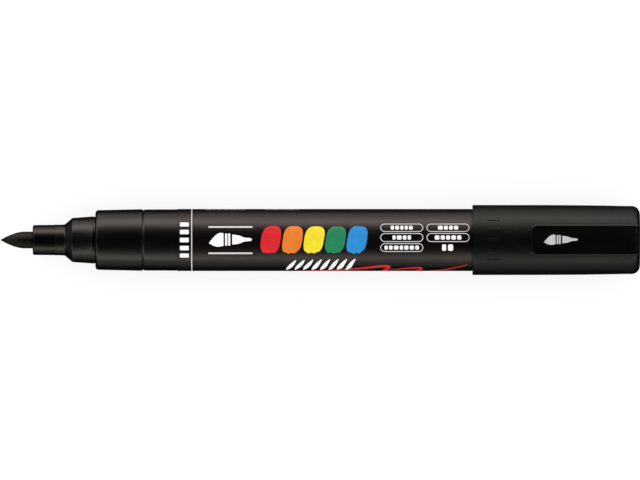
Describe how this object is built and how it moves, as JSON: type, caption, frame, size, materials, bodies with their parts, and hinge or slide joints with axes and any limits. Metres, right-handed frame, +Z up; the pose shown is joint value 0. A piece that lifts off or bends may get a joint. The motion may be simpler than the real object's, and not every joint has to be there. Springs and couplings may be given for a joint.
{
  "type": "brush pen",
  "caption": "Valve-action brush pen with a pointed brush tip, stepped nose, round barrel with a printed film, and a clip cap posted on its tail.",
  "frame": {"origin": "on the pen's axis, at the middle of the printed grip that shows between the film's front edge and the posted cap's mouth", "axes": "+X along the pen from the brush towards the closed end of the cap, and +Z up, which is the way the clip and the print face"},
  "size_m": [0.1461, 0.016, 0.0183],
  "materials": {
    "brush_fibre": "paint-soaked bonded fibre",
    "black_plastic": "satin moulded black",
    "film_print": "glossy printed film",
    "natural_plastic": "unpigmented, slightly waxy",
    "wick_fibre": "bonded fibre",
    "seal_rubber": "matt",
    "spring_steel": "drawn wire",
    "ball_steel": "polished"
  },
  "bodies": {
    "pen": {"barrel_tube": "black_plastic", "printed_film": "film_print", "front_nose": "black_plastic", "nozzle_sleeve": "black_plastic", "valve_housing": "natural_plastic", "valve_seat": "seal_rubber", "housing_gasket": "seal_rubber", "spring_retainer": "natural_plastic", "valve_spring": "spring_steel", "tail_plug": "black_plastic"},
    "brush_unit": {"brush_nib": "brush_fibre", "nib_carrier": "natural_plastic", "relay_wick": "wick_fibre"},
    "valve": {"valve_stem": "natural_plastic"},
    "ball": {"mixing_ball": "ball_steel"},
    "cap": {"cap_shell": "black_plastic", "cap_liner": "natural_plastic"},
    "clip": {"cap_clip": "black_plastic"}
  },
  "joints": [
    {"name": "brush_press", "type": "slide", "parent": "pen", "child": "brush_unit", "axis": [1, 0, 0], "range_m": [0, 0.002]},
    {"name": "valve_lift", "type": "slide", "parent": "pen", "child": "valve", "axis": [1, 0, 0], "range_m": [0, 0.002], "stiffness_N_per_m": 500, "springref_m": -0.003, "deforming": ["valve_spring"]},
    {"name": "ball_roll", "type": "slide", "parent": "pen", "child": "ball", "axis": [1, 0, 0], "range_m": [0, 0.059]},
    {"name": "cap_pull", "type": "slide", "parent": "pen", "child": "cap", "axis": [1, 0, 0], "range_m": [0, 0.04]},
    {"name": "clip_flex", "type": "hinge", "parent": "cap", "child": "clip", "pos_m": [0.06688, 0, 0.01025], "axis": [0, 1, 0], "range_deg": [0, 5], "stiffness_Nm_per_rad": 1.3}
  ],
  "couplings": [
    {"joint": "valve_lift", "follows": "brush_press", "ratio": 1}
  ]
}
